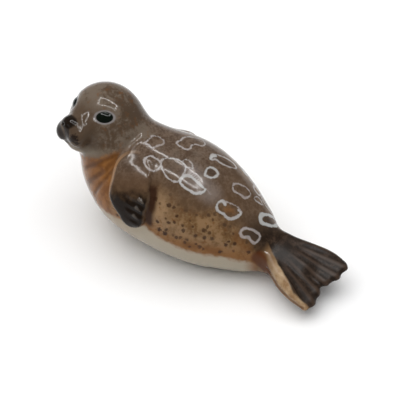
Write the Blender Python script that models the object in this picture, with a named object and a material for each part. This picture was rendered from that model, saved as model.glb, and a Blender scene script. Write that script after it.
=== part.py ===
"""Seal figurine: one glazed porcelain casting of a lying seal.

The seal rests on its belly with its head raised and turned to its own left,
its front flippers laid back along the flanks and its hind flippers spread as a fan.

World frame, metres: the floor is Z = 0, the seal's front end points to -Y and its
tail to +Y, and its own left side is +X.  The origin ends up under the middle of the
figurine's box.  Every size below is in millimetres.
"""
import math

import bpy
import numpy as np

MM = 0.001
NAME = "seal"

# Head: where it sits and how it is turned (degrees, from straight ahead)
HEAD_AT = (-2.3, -21.3, 21.6)
HEAD_YAW = 66.5
HEAD_PITCH = 20.0
HEAD_ROLL = 13.0

# Trunk: each form is a centre and three radii
TRUNK_AT, TRUNK_R = (-0.8, -3.8, 10.3), (11.5, 12.5, 10.9)
CHEST_AT, CHEST_R = (-1.3, -12.2, 11.3), (8.5, 12.8, 10.6)
RUMP_AT, RUMP_R = (-0.5, 4.5, 7.4), (8.5, 9.5, 8.0)
TRUNK_BLEND = 5.0

# Tail root and neck: round bars from one end ball to the other
TAIL_FROM, TAIL_TO = (0.2, 11.8, 5.8), (1.0, 22.0, 5.0)
TAIL_R = (4.4, 1.6)
NECK_FROM = (1.8, -12.5, 12.4)
NECK_TO_HEAD = (0.0, 0.6, -1.0)
NECK_R = (7.4, 5.9)

# Head forms, in the head's own frame (forward, left, up from HEAD_AT)
SKULL_R = (6.4, 7.0, 6.8)
SKULL_BLEND = 3.0
SNOUT_BLEND = 2.2
SNOUT_AT, SNOUT_R = (5.9, 0.0, -0.7), (3.8, 3.1, 2.8)
PAD_AT, PAD_R = (7.85, 1.8, -1.75), (1.95, 1.9, 2.1)
PAD_BLEND, CHIN_BLEND = 1.1, 1.5
NOSE_AT, NOSE_R = (8.6, 0.0, 0.35), (1.25, 1.6, 1.15)
NOSE_BLEND = 1.3
CHIN_AT, CHIN_R = (5.85, 0.0, -3.95), (2.1, 2.0, 1.55)
NOSTRIL_AT, NOSTRIL_R = (9.95, 0.62, 0.25), (0.32, 0.32, 0.15)
MOUTH = ((9.2, 0.0, -3.3), (8.6, 1.8, -3.75), (6.4, 3.2, -3.4))
MOUTH_DEPTH, MOUTH_WIDTH = 0.18, 0.32
NOSTRIL_BLEND = 0.25

# Eyes: bulging ovals, in the head's frame; the left one, the right one mirrored
EYE_AT = (3.95, 4.02, 2.22)
EYE_HALF_LENGTH, EYE_HALF_HEIGHT, EYE_DEPTH = 1.70, 1.12, 0.85
EYE_TILT = 8.0
SOCKET_DEPTH, SOCKET_REACH, EYE_BLEND = 0.22, 0.55, 0.15

# Hind flippers: a fan in a plane of its own, leaning down towards the left side
FAN_ROOT = (0.1, 17.0, 5.9)
FAN_ALONG = (1.8, 11.8, -2.15)
FAN_ACROSS = (11.2, -2.9, -2.5)
FAN_LENGTH = 12.0
FAN_HALF_ROOT, FAN_HALF_TIP = 3.5, 6.4
FAN_BACK = 2.0
# Where each change starts and ends: along the fan for the spread, the bow, the thinning,
# the rays, the parting and the crease, and across it for the near lobe
SPREAD_FROM, SPREAD_TO = -3.0, 9.0
BOW_FROM, BOW_TO = -2.0, 4.0
THIN_FROM = -1.0
LOBE_FLAT_FROM = 6.0
RAYS_FROM, RAYS_TO = 1.0, 6.0
PARTING_FROM, PARTING_TO = 3.0, 9.0
CREASE_FROM, CREASE_FULL, CREASE_FADES, CREASE_TO = -1.0, 1.0, 8.5, 10.5
CREASE_IN, CREASE_OUT = 2.0, 4.0
LOBE_FROM, LOBE_TO = 0.0, 5.0
LOBE_THICK_FROM, LOBE_THICK_TO = 1.5, 5.0
LOBE_RAISED_FROM, LOBE_RAISED_TO = 1.0, 5.5
NEAR_LOBE_WIDER, NEAR_LOBE_SHORTER, NEAR_LOBE_RAISED = 0.9, 0.3, 1.0
NEAR_LOBE_FLATTER = 0.6
FAN_THICK_ROOT, FAN_THICK_TIP, NEAR_LOBE_THICKER = 2.2, 0.75, 0.55
FAN_NOTCH_AT, FAN_NOTCH_DEPTH, FAN_NOTCH_WIDTH = 1.0, 1.25, 2.1
RAY_DEPTH, RAY_PITCH, RAY_BEAD = 0.16, 3.7, 0.14
RAYS_MEET = 7.0
PARTING_DEPTH, PARTING_WIDTH = 0.28, 0.7
CREASE_DEPTH, CREASE_WIDTH, CREASE_UP = 0.32, 0.4, 0.1
FAN_SIDE_ROUND, FAN_END_ROUND, FAN_BACK_ROUND = 1.9, 1.3, 2.0

# Front flippers: pads raised on the flanks; shoulder, middle and tip, each a point and half width
LEFT_FLIPPER = (((6.3, -10.6, 20.0), 3.6), ((9.2, -9.9, 16.3), 3.9), ((10.5, -8.6, 13.3), 2.75))
RIGHT_FLIPPER = (((-10.6, -10.9, 16.2), 3.6), ((-12.1, -10.0, 12.2), 3.8), ((-12.2, -8.4, 9.0), 2.75))
FLIPPER_RAISE, TIP_RAISE, SHOULDER_SINK = 0.95, 0.30, 0.35
FLIPPER_EDGE, FLIPPER_BEND = 0.9, 1.0
FLIPPER_BLEND = 0.5
TOE_FIRST, TOE_PITCH, TOE_DEPTH, TOE_SLANT = 4.3, 1.75, 0.08, 0.45
TOES_FROM, TOES_FULL = -1.5, 0.5
CLAWS = (((9.9, -7.5, 17.2), (10.1, -6.6, 16.8)), ((10.7, -7.7, 15.7), (10.8, -6.8, 15.3)),
         ((11.3, -7.9, 14.2), (11.4, -7.0, 13.8)))
CLAW_R, CLAW_TAPER, CLAW_BLEND = 0.30, 0.6, 0.25

# Where the hind flippers leave the trunk, and the edge round the resting face
FAN_BLEND = 2.2
FLOOR_ROUND = 0.6

# Skin folds of the turned neck, left side: points on the skin, depth, width
FOLDS = (
    (((5.3, -21.6, 15.0), (6.2, -19.2, 17.6), (6.2, -17.2, 19.5), (5.2, -15.0, 21.1)), 0.26, 0.55),
    (((6.6, -20.8, 12.2), (7.3, -16.4, 18.2), (5.0, -14.2, 21.4), (2.6, -13.4, 22.8), (-1.2, -12.2, 23.5)),
     0.50, 0.80),
    (((8.0, -19.0, 10.5), (8.3, -16.2, 16.4), (6.9, -14.5, 19.3)), 0.22, 0.50),
)

# Mesh: grid over the figurine's box, and the triangles kept
BOX_LOW, BOX_HIGH = (-15.0, -31.0, -1.0), (14.0, 33.0, 31.0)
GRID = 0.36
TRIANGLES = 11600
FLAT_TOLERANCE = 0.004


def unit(v):
    v = np.asarray(v, float)
    return v / np.linalg.norm(v)


def head_axes():
    """Rows: forward, left and up of the head in the world."""
    yaw, pitch, roll = np.radians([HEAD_YAW, HEAD_PITCH, HEAD_ROLL])
    forward = np.array([math.sin(yaw) * math.cos(pitch), -math.cos(yaw) * math.cos(pitch), math.sin(pitch)])
    left = unit(np.cross((0.0, 0.0, 1.0), forward))
    up = np.cross(forward, left)
    return np.array([forward,
                     left * math.cos(roll) + up * math.sin(roll),
                     up * math.cos(roll) - left * math.sin(roll)])


HEAD = head_axes()


def on_head(at, side=1):
    """World position of a point given in the head's frame."""
    return np.asarray(HEAD_AT) + np.array([at[0], at[1] * side, at[2]]) @ HEAD


def eye_axes(side):
    """Rows: along the eye, outwards from the head, and up the eye, in the world."""
    out = unit(np.array(EYE_AT) / np.square(SKULL_R)) * (1, side, 1)
    along = unit(np.cross((0.0, 0.0, 1.0), out)) * side
    up = unit(np.cross(out, along)) * side
    tilt = math.radians(EYE_TILT)
    tilted = along * math.cos(tilt) + up * math.sin(tilt)
    upright = up * math.cos(tilt) - along * math.sin(tilt)
    return np.array([tilted, out, upright]) @ HEAD


def fan_axes():
    """Rows: along the hind flippers, across towards the left side, and down out of their plane."""
    along = unit(FAN_ALONG)
    across = np.asarray(FAN_ACROSS, float)
    across = unit(across - along * (across @ along))
    return np.array([along, across, np.cross(across, along) * -1.0])


FAN = fan_axes()


def ellipsoid(p, centre, radii, axes=None):
    q = p - np.asarray(centre, float)
    if axes is not None:
        q = q @ axes.T
    radii = np.asarray(radii, float)
    near = np.linalg.norm(q / radii, axis=-1)
    slope = np.linalg.norm(q / np.square(radii), axis=-1)
    return near * (near - 1.0) / np.maximum(slope, 1e-9)


def bar(p, start, end, r_start, r_end):
    start, end = np.asarray(start, float), np.asarray(end, float)
    run = end - start
    t = np.clip(((p - start) @ run) / (run @ run), 0.0, 1.0)
    away = p - start - t[..., None] * run
    return np.linalg.norm(away, axis=-1) - (r_start + (r_end - r_start) * t)


def join(a, b, blend):
    h = np.maximum(blend - np.abs(a - b), 0.0) / blend
    return np.minimum(a, b) - h * h * blend / 4.0


def cut(a, b, blend):
    return -join(-a, -b, blend)


def ease(x, lo, hi):
    t = np.clip((x - lo) / (hi - lo), 0.0, 1.0)
    return t * t * (3.0 - 2.0 * t)


def line_distance(p, points):
    """Distance to a line through the points, and how far along it, from 0 to 1."""
    best = np.full(p.shape[:-1], 1e9)
    where = np.zeros(p.shape[:-1])
    count = len(points) - 1
    for i in range(count):
        a, b = np.asarray(points[i], float), np.asarray(points[i + 1], float)
        run = b - a
        t = np.clip(((p - a) @ run) / (run @ run), 0.0, 1.0)
        d = np.linalg.norm(p - a - t[..., None] * run, axis=-1)
        nearer = d < best
        best = np.where(nearer, d, best)
        where = np.where(nearer, (i + t) / count, where)
    return best, where


def groove(p, points, depth, width, fade=0.25):
    d, t = line_distance(p, points)
    ends = ease(t, 0.0, fade) * (1.0 - ease(t, 1.0 - fade, 1.0))
    return depth * np.exp(-np.square(d / width)) * ends


def trunk(p):
    d = join(ellipsoid(p, TRUNK_AT, TRUNK_R), ellipsoid(p, CHEST_AT, CHEST_R), TRUNK_BLEND)
    d = join(d, ellipsoid(p, RUMP_AT, RUMP_R), TRUNK_BLEND)
    d = join(d, bar(p, TAIL_FROM, TAIL_TO, *TAIL_R), TRUNK_BLEND)
    return join(d, bar(p, NECK_FROM, np.add(HEAD_AT, NECK_TO_HEAD), *NECK_R), TRUNK_BLEND)


def fan_place(p):
    q = (p - np.asarray(FAN_ROOT)) @ FAN.T
    return q[..., 0], q[..., 1], q[..., 2]


def fan(p):
    """The hind flippers: a rounded plate with a notch, ten rays and a creased near side."""
    u, v, w = fan_place(p)
    spread = ease(u, SPREAD_FROM, SPREAD_TO)
    half = FAN_HALF_ROOT + (FAN_HALF_TIP - FAN_HALF_ROOT) * spread
    near_lobe = ease(v, LOBE_FROM, LOBE_TO)
    bow = NEAR_LOBE_WIDER * near_lobe * ease(u, BOW_FROM, BOW_TO)
    thick = FAN_THICK_ROOT + (FAN_THICK_TIP - FAN_THICK_ROOT) * ease(u, THIN_FROM, FAN_LENGTH)
    near_side = ease(v, LOBE_THICK_FROM, LOBE_THICK_TO) * (1.0 - ease(u, LOBE_FLAT_FROM, FAN_LENGTH))
    thick = thick + NEAR_LOBE_THICKER * near_side
    angle = np.arctan2(v, u + RAYS_MEET)
    digit = np.cos(angle / math.radians(RAY_PITCH) * math.pi)
    end = FAN_LENGTH + RAY_BEAD * digit - NEAR_LOBE_SHORTER * near_lobe
    end = end - FAN_NOTCH_DEPTH * np.exp(-np.square((v - FAN_NOTCH_AT) / FAN_NOTCH_WIDTH))
    middle = -NEAR_LOBE_RAISED * ease(v, LOBE_RAISED_FROM, LOBE_RAISED_TO)
    middle = middle * (1.0 - NEAR_LOBE_FLATTER * ease(u, LOBE_FLAT_FROM, FAN_LENGTH))
    rays = RAY_DEPTH * (0.5 - 0.5 * digit) * ease(u, RAYS_FROM, RAYS_TO)
    off_parting = v - FAN_NOTCH_AT * u / FAN_LENGTH
    parting = PARTING_DEPTH * np.exp(-np.square(off_parting / PARTING_WIDTH))
    parting = parting * ease(u, PARTING_FROM, PARTING_TO)
    d = cut(np.abs(v) - half - bow, np.abs(w - middle) - thick + rays + parting, FAN_SIDE_ROUND)
    d = cut(d, u - end, FAN_END_ROUND)
    d = cut(d, -u - FAN_BACK, FAN_BACK_ROUND)
    off_crease = w - middle + CREASE_UP
    crease = CREASE_DEPTH * np.exp(-np.square(off_crease / CREASE_WIDTH)) * ease(v, CREASE_IN, CREASE_OUT)
    return d + crease * ease(u, CREASE_FROM, CREASE_FULL) * (1.0 - ease(u, CREASE_FADES, CREASE_TO))


def flipper(p, skin, places):
    """A pad that stands off the skin inside an outline, fading out at the shoulder."""
    (top, r_top), (mid, r_mid), (tip, r_tip) = places
    outline = join(bar(p, top, mid, r_top, r_mid), bar(p, mid, tip, r_mid, r_tip), FLIPPER_BEND)
    top, tip = np.asarray(top), np.asarray(tip)
    run = tip - top
    along = ((p - top) @ run) / (run @ run)
    rear = unit(np.array([0.0, 1.0, 0.0]) - run * (run[1] / (run @ run)))
    across = (p - top) @ rear
    lift = FLIPPER_RAISE * ease(along, -0.45, 0.35) + TIP_RAISE * ease(along, 0.6, 1.4)
    lift = lift - SHOULDER_SINK * (1.0 - ease(along, -0.50, -0.10))
    row = (p - top) @ unit(run) - TOE_SLANT * across
    toes = -TOE_DEPTH * np.cos((row - TOE_FIRST) * 2.0 * math.pi / TOE_PITCH)
    toes = toes * ease(across, TOES_FROM, TOES_FULL) * ease(row, TOE_FIRST - TOE_PITCH, TOE_FIRST)
    return cut(skin - lift + toes, outline, FLIPPER_EDGE)


def head(p, d):
    d = join(d, ellipsoid(p, HEAD_AT, SKULL_R, HEAD), SKULL_BLEND)
    d = join(d, ellipsoid(p, on_head(SNOUT_AT), SNOUT_R, HEAD), SNOUT_BLEND)
    for side in (-1, 1):
        d = join(d, ellipsoid(p, on_head(PAD_AT, side), PAD_R, HEAD), PAD_BLEND)
    d = join(d, ellipsoid(p, on_head(CHIN_AT), CHIN_R, HEAD), CHIN_BLEND)
    d = join(d, ellipsoid(p, on_head(NOSE_AT), NOSE_R, HEAD), NOSE_BLEND)
    for side in (-1, 1):
        lip = [on_head(at, side) for at in MOUTH]
        d = d + groove(p, lip, MOUTH_DEPTH, MOUTH_WIDTH)
        nostril = ellipsoid(p, on_head(NOSTRIL_AT, side), NOSTRIL_R, HEAD)
        d = cut(d, -nostril, NOSTRIL_BLEND)
        axes = eye_axes(side)
        radii = (EYE_HALF_LENGTH, EYE_DEPTH, EYE_HALF_HEIGHT)
        ball = ellipsoid(p, on_head(EYE_AT, side), radii, axes)
        d = d + SOCKET_DEPTH * np.exp(-np.square(np.maximum(ball, 0.0) / SOCKET_REACH))
        d = join(d, ball, EYE_BLEND)
    return d


def seal(p):
    """Signed distance to the figurine's skin, in millimetres, negative inside."""
    d = trunk(p)
    skin = d
    for places in (LEFT_FLIPPER, RIGHT_FLIPPER):
        d = join(d, flipper(p, skin, places), FLIPPER_BLEND)
    for start, end in CLAWS:
        d = join(d, bar(p, start, end, CLAW_R, CLAW_TAPER * CLAW_R), CLAW_BLEND)
    d = join(d, fan(p), FAN_BLEND)
    d = head(p, d)
    for points, depth, width in FOLDS:
        d = d + groove(p, points, depth, width)
    return cut(d, -p[..., 2], FLOOR_ROUND)


CORNERS = np.array([(1, 1, 1), (1, -1, -1), (-1, 1, -1), (-1, -1, 1)], float)


def slope(field, p, step=0.015):
    """Gradient of the field from its values at a small tetrahedron's corners."""
    return sum(field(p + c * step)[:, None] * c for c in CORNERS) / (4.0 * step)


def settle(p, rounds=4, reach=0.8):
    """Moves points along the field's slope until they lie on the skin."""
    for _ in range(rounds):
        g = slope(seal, p)
        step = seal(p) / np.maximum(np.einsum("ij,ij->i", g, g), 0.25)
        p = p - np.clip(step, -reach, reach)[:, None] * g
    return p


def even_out(p, edges, rounds=3):
    """Slides points along the skin towards the middle of their neighbours."""
    count = np.zeros(len(p))
    np.add.at(count, edges.ravel(), 1.0)
    for _ in range(rounds):
        total = np.zeros_like(p)
        np.add.at(total, edges[:, 0], p[edges[:, 1]])
        np.add.at(total, edges[:, 1], p[edges[:, 0]])
        pull = total / count[:, None] - p
        g = slope(seal, p)
        g /= np.maximum(np.linalg.norm(g, axis=1), 1e-9)[:, None]
        pull -= g * np.einsum("ij,ij->i", pull, g)[:, None]
        p = settle(p + 0.5 * pull, 1)
    return p


def sample(low, high, size):
    """The field at every point of a regular grid, with the grid's axes."""
    axes = [np.arange(a, b, size) for a, b in zip(low, high)]
    values = np.empty([len(a) for a in axes])
    flat = np.stack(np.meshgrid(axes[1], axes[2], indexing="ij"), axis=-1)
    for i, x in enumerate(axes[0]):
        slab = np.concatenate([np.full(flat.shape[:2] + (1,), x), flat], axis=-1)
        values[i] = seal(slab)
    return axes, values


def shifted(a, corner):
    """The grid's values at one corner of each cell."""
    cut_to = tuple(slice(c, n - 1 + c) for c, n in zip(corner, a.shape))
    return a[cut_to]


def skin(axes, values, size):
    """One point in each grid cell that the skin crosses, joined by four-sided faces."""
    inside = values < 0.0
    corners = [(i, j, k) for i in (0, 1) for j in (0, 1) for k in (0, 1)]
    filled = sum(shifted(inside, c).astype(np.int8) for c in corners)
    crossed = (filled > 0) & (filled < 8)
    number = np.full(crossed.shape, -1, dtype=np.int64)
    number[crossed] = np.arange(np.count_nonzero(crossed))
    total = np.zeros((np.count_nonzero(crossed), 3))
    count = np.zeros(len(total))
    for axis in range(3):
        step = tuple(int(axis == i) for i in range(3))
        for c in corners:
            if c[axis]:
                continue
            va = shifted(values, c)[crossed]
            vb = shifted(values, tuple(np.add(c, step)))[crossed]
            hit = (va < 0.0) != (vb < 0.0)
            at = np.tile(np.array(c, float), (len(total), 1))
            at[:, axis] += np.where(hit, va / np.where(hit, va - vb, 1.0), 0.0)
            total[hit] += at[hit]
            count[hit] += 1.0
    cell = np.argwhere(crossed)
    low = np.array([a[0] for a in axes])
    points = low + (cell + total / count[:, None]) * size
    faces = []
    for axis in range(3):
        side, over = (axis + 1) % 3, (axis + 2) % 3
        start = [slice(1, -1)] * 3
        start[axis] = slice(0, -1)
        end = list(start)
        end[axis] = slice(1, None)
        a, b = inside[tuple(start)], inside[tuple(end)]
        at = np.argwhere(a != b) + np.array([int(i != axis) for i in range(3)])
        outward = a[a != b]
        ring = []
        for ds, do in ((-1, -1), (0, -1), (0, 0), (-1, 0)):
            q = at.copy()
            q[:, side] += ds
            q[:, over] += do
            ring.append(number[q[:, 0], q[:, 1], q[:, 2]])
        quad = np.stack(ring, axis=1)
        quad[~outward] = quad[~outward][:, ::-1]
        faces.append(quad)
    return points, np.concatenate(faces)


def skin_mesh(size):
    axes, values = sample(BOX_LOW, BOX_HIGH, size)
    points, faces = skin(axes, values, size)
    mesh = bpy.data.meshes.new(NAME)
    mesh.from_pydata(points.tolist(), [], faces.tolist())
    mesh.update()
    return mesh


def evaluated_copy(obj):
    bpy.context.view_layer.update()
    graph = bpy.context.evaluated_depsgraph_get()
    return bpy.data.meshes.new_from_object(obj.evaluated_get(graph))


def use_modifier_result(obj):
    """Keeps what the object's modifiers make and drops the modifiers."""
    mesh = evaluated_copy(obj)
    old = obj.data
    obj.modifiers.clear()
    obj.data = mesh
    bpy.data.meshes.remove(old)


def coordinates(mesh):
    flat = np.empty(len(mesh.vertices) * 3)
    mesh.vertices.foreach_get("co", flat)
    return flat.reshape(-1, 3)


def edge_pairs(mesh):
    flat = np.empty(len(mesh.edges) * 2, dtype=np.int64)
    mesh.edges.foreach_get("vertices", flat)
    return flat.reshape(-1, 2)


def set_coordinates(mesh, p):
    mesh.vertices.foreach_set("co", p.astype(np.float32).ravel())
    mesh.update()


def flat_on_floor(p):
    """Puts the points of the resting face exactly on the floor."""
    p = p.copy()
    p[p[:, 2] < FLAT_TOLERANCE, 2] = 0.0
    return p


def glaze_material():
    mat = bpy.data.materials.new("glazed brown porcelain")
    mat.use_nodes = True
    shader = mat.node_tree.nodes["Principled BSDF"]
    shader.inputs["Base Color"].default_value = (0.11, 0.072, 0.045, 1.0)
    shader.inputs["Roughness"].default_value = 0.18
    shader.inputs["Metallic"].default_value = 0.0
    return mat


def build():
    for obj in list(bpy.data.objects):
        bpy.data.objects.remove(obj, do_unlink=True)

    mesh = skin_mesh(GRID)
    obj = bpy.data.objects.new(NAME, mesh)
    bpy.context.scene.collection.objects.link(obj)

    p = settle(coordinates(mesh), 2)
    p = even_out(p, edge_pairs(mesh), 3)
    p = settle(p, 1)
    set_coordinates(mesh, flat_on_floor(p))

    keep = obj.modifiers.new("fewer triangles", "DECIMATE")
    keep.decimate_type = "COLLAPSE"
    keep.use_collapse_triangulate = True
    faces = sum(len(f.vertices) - 2 for f in mesh.polygons)
    keep.ratio = TRIANGLES / faces
    use_modifier_result(obj)

    mesh = obj.data
    p = flat_on_floor(coordinates(mesh))
    p[:, :2] -= (p[:, :2].min(axis=0) + p[:, :2].max(axis=0)) / 2.0
    set_coordinates(mesh, p * MM)
    mesh.shade_smooth()
    mesh.materials.clear()
    mesh.materials.append(glaze_material())
    print(NAME, len(mesh.vertices), "points", len(mesh.polygons), "triangles")


if __name__ == "__main__":
    build()
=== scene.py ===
"""Looks of a small glazed porcelain seal, laid out as a Blender add-on.

One operator models and paints the casting, another sets up the floor, the lamps and
the camera.  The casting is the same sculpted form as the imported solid, on a finer mesh
of its own that lies in the solid's box.  Forms are given in millimetres.
"""

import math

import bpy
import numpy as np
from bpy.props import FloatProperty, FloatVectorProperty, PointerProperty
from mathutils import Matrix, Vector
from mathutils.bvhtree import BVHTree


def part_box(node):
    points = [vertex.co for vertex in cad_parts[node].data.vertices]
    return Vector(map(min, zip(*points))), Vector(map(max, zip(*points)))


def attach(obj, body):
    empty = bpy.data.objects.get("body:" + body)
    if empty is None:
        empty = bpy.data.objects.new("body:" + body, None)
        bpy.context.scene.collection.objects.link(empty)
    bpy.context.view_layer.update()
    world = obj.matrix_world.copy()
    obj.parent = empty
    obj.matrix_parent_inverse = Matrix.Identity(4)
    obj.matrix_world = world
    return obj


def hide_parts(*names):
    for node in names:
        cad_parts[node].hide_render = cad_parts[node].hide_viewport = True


bl_info = {
    "name": "Glazed porcelain seal",
    "version": (1, 0, 0),
    "blender": (4, 5, 0),
    "location": "3D View > Sidebar > Seal",
    "description": "Models, paints and lights a small lying seal of glazed porcelain",
    "category": "Object",
}

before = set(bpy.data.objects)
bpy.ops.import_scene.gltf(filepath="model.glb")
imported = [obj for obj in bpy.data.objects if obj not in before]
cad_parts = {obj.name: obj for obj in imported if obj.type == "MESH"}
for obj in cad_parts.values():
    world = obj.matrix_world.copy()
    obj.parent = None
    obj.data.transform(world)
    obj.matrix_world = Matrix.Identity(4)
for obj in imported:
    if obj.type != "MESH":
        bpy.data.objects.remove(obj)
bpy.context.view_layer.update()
SEAL_LOW, SEAL_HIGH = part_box("seal")
BODY = "root"
MM = 0.001

# Head: where it sits and how it is turned (degrees, from straight ahead)
HEAD_AT = (-2.3, -21.3, 21.6)
HEAD_YAW = 66.5
HEAD_PITCH = 20.0
HEAD_ROLL = 13.0

# Trunk: each form is a centre and three radii
TRUNK_AT, TRUNK_R = (-0.8, -3.8, 10.3), (11.5, 12.5, 10.9)
CHEST_AT, CHEST_R = (-1.3, -12.2, 11.3), (8.5, 12.8, 10.6)
RUMP_AT, RUMP_R = (-0.5, 4.5, 7.4), (8.5, 9.5, 8.0)
TRUNK_BLEND = 5.0

# Tail root and neck: round bars from one end ball to the other
TAIL_FROM, TAIL_TO = (0.2, 11.8, 5.8), (1.0, 22.0, 5.0)
TAIL_R = (4.4, 1.6)
NECK_FROM = (1.8, -12.5, 12.4)
NECK_TO_HEAD = (0.0, 0.6, -1.0)
NECK_R = (7.4, 5.9)

# Head forms, in the head's own frame (forward, left, up from HEAD_AT)
SKULL_R = (6.4, 7.0, 6.8)
SKULL_BLEND = 3.0
SNOUT_BLEND = 2.2
SNOUT_AT, SNOUT_R = (5.9, 0.0, -0.7), (3.8, 3.1, 2.8)
PAD_AT, PAD_R = (7.85, 1.8, -1.75), (1.95, 1.9, 2.1)
PAD_BLEND, CHIN_BLEND = 1.1, 1.5
NOSE_AT, NOSE_R = (8.6, 0.0, 0.35), (1.25, 1.6, 1.15)
NOSE_BLEND = 1.3
CHIN_AT, CHIN_R = (5.85, 0.0, -3.95), (2.1, 2.0, 1.55)
NOSTRIL_AT, NOSTRIL_R = (9.95, 0.62, 0.25), (0.32, 0.32, 0.15)
MOUTH = ((9.2, 0.0, -3.3), (8.6, 1.8, -3.75), (6.4, 3.2, -3.4))
MOUTH_DEPTH, MOUTH_WIDTH = 0.18, 0.32
NOSTRIL_BLEND = 0.25

# Eyes: bulging ovals, in the head's frame; the left one, the right one mirrored
EYE_AT = (3.95, 4.02, 2.22)
EYE_HALF_LENGTH, EYE_HALF_HEIGHT, EYE_DEPTH = 1.70, 1.12, 0.85
EYE_TILT = 8.0
SOCKET_DEPTH, SOCKET_REACH, EYE_BLEND = 0.22, 0.55, 0.15

# Hind flippers: a fan in a plane of its own, leaning down towards the left side
FAN_ROOT = (0.1, 17.0, 5.9)
FAN_ALONG = (1.8, 11.8, -2.15)
FAN_ACROSS = (11.2, -2.9, -2.5)
FAN_LENGTH = 12.0
FAN_HALF_ROOT, FAN_HALF_TIP = 3.5, 6.4
FAN_BACK = 2.0
# Where each change starts and ends: along the fan for the spread, the bow, the thinning, the
# flatter lobe, the rays, the parting and the crease, and across it for the crease and the lobe
SPREAD, BOW, THINNING, FLATTER = (-3.0, 9.0), (-2.0, 4.0), (-1.0, FAN_LENGTH), (6.0, FAN_LENGTH)
RAYS, PARTING, CREASE_STARTS, CREASE_ENDS = (1.0, 6.0), (3.0, 9.0), (-1.0, 1.0), (8.5, 10.5)
CREASE_SIDE, LOBE, LOBE_THICK, LOBE_RAISED = (2.0, 4.0), (0.0, 5.0), (1.5, 5.0), (1.0, 5.5)
NEAR_LOBE_WIDER, NEAR_LOBE_SHORTER, NEAR_LOBE_RAISED = 0.9, 0.3, 1.0
NEAR_LOBE_FLATTER = 0.6
FAN_THICK_ROOT, FAN_THICK_TIP, NEAR_LOBE_THICKER = 2.2, 0.75, 0.55
FAN_NOTCH_AT, FAN_NOTCH_DEPTH, FAN_NOTCH_WIDTH = 1.0, 1.25, 2.1
RAY_DEPTH, RAY_PITCH, RAY_BEAD = 0.16, 3.7, 0.14
RAYS_MEET = 7.0
PARTING_DEPTH, PARTING_WIDTH = 0.28, 0.7
CREASE_DEPTH, CREASE_WIDTH, CREASE_UP = 0.32, 0.4, 0.1
FAN_SIDE_ROUND, FAN_END_ROUND, FAN_BACK_ROUND = 1.9, 1.3, 2.0

# Front flippers: pads raised on the flanks; shoulder, middle and tip, each a point and half width
LEFT_FLIPPER = (((6.3, -10.6, 20.0), 3.6), ((9.2, -9.9, 16.3), 3.9), ((10.5, -8.6, 13.3), 2.75))
RIGHT_FLIPPER = (((-10.6, -10.9, 16.2), 3.6), ((-12.1, -10.0, 12.2), 3.8), ((-12.2, -8.4, 9.0), 2.75))
FLIPPER_RAISE, TIP_RAISE, SHOULDER_SINK = 0.95, 0.30, 0.35
FLIPPER_EDGE, FLIPPER_BEND = 0.9, 1.0
FLIPPER_BLEND = 0.5
# Shares of the length between which a flipper and its tip rise and the shoulder's sinking
# ends, and the distances across it between which its toes deepen
RISE, RISE_AT_TIP, SINK = (-0.45, 0.35), (0.6, 1.4), (-0.50, -0.10)
TOES = (-1.5, 0.5)
TOE_FIRST, TOE_PITCH, TOE_DEPTH, TOE_SLANT = 4.3, 1.75, 0.08, 0.45
CLAWS = (((9.9, -7.5, 17.2), (10.1, -6.6, 16.8)), ((10.7, -7.7, 15.7), (10.8, -6.8, 15.3)),
         ((11.3, -7.9, 14.2), (11.4, -7.0, 13.8)))
CLAW_R, CLAW_TAPER, CLAW_BLEND = 0.30, 0.6, 0.25

# Where the hind flippers leave the trunk, and the edge round the resting face
FAN_BLEND = 2.2
FLOOR_ROUND = 0.6

# Skin folds of the turned neck, left side: points on the skin, depth, width
FOLDS = (
    (((5.3, -21.6, 15.0), (6.2, -19.2, 17.6), (6.2, -17.2, 19.5), (5.2, -15.0, 21.1)), 0.26, 0.55),
    (((6.6, -20.8, 12.2), (7.3, -16.4, 18.2), (5.0, -14.2, 21.4), (2.6, -13.4, 22.8), (-1.2, -12.2, 23.5)),
     0.50, 0.80),
    (((8.0, -19.0, 10.5), (8.3, -16.2, 16.4), (6.9, -14.5, 19.3)), 0.22, 0.50),
)


def unit(v):
    v = np.asarray(v, float)
    return v / np.linalg.norm(v)


def head_axes():
    """Rows: forward, left and up of the head in the world."""
    yaw, pitch, roll = np.radians([HEAD_YAW, HEAD_PITCH, HEAD_ROLL])
    forward = np.array([math.sin(yaw) * math.cos(pitch), -math.cos(yaw) * math.cos(pitch), math.sin(pitch)])
    left = unit(np.cross((0.0, 0.0, 1.0), forward))
    up = np.cross(forward, left)
    return np.array([forward,
                     left * math.cos(roll) + up * math.sin(roll),
                     up * math.cos(roll) - left * math.sin(roll)])


HEAD = head_axes()


def on_head(at, side=1):
    """World position of a point given in the head's frame."""
    return np.asarray(HEAD_AT) + np.array([at[0], at[1] * side, at[2]]) @ HEAD


def eye_axes(side):
    """Rows: along the eye, outwards from the head, and up the eye, in the world."""
    out = unit(np.array(EYE_AT) / np.square(SKULL_R)) * (1, side, 1)
    along = unit(np.cross((0.0, 0.0, 1.0), out)) * side
    up = unit(np.cross(out, along)) * side
    tilt = math.radians(EYE_TILT)
    tilted = along * math.cos(tilt) + up * math.sin(tilt)
    upright = up * math.cos(tilt) - along * math.sin(tilt)
    return np.array([tilted, out, upright]) @ HEAD


def fan_axes():
    """Rows: along the hind flippers, across towards the left side, and down out of their plane."""
    along = unit(FAN_ALONG)
    across = np.asarray(FAN_ACROSS, float)
    across = unit(across - along * (across @ along))
    return np.array([along, across, np.cross(across, along) * -1.0])


FAN = fan_axes()


def ellipsoid(p, centre, radii, axes=None):
    q = p - np.asarray(centre, float)
    if axes is not None:
        q = q @ axes.T
    radii = np.asarray(radii, float)
    near = np.linalg.norm(q / radii, axis=-1)
    slope = np.linalg.norm(q / np.square(radii), axis=-1)
    return near * (near - 1.0) / np.maximum(slope, 1e-9)


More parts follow.
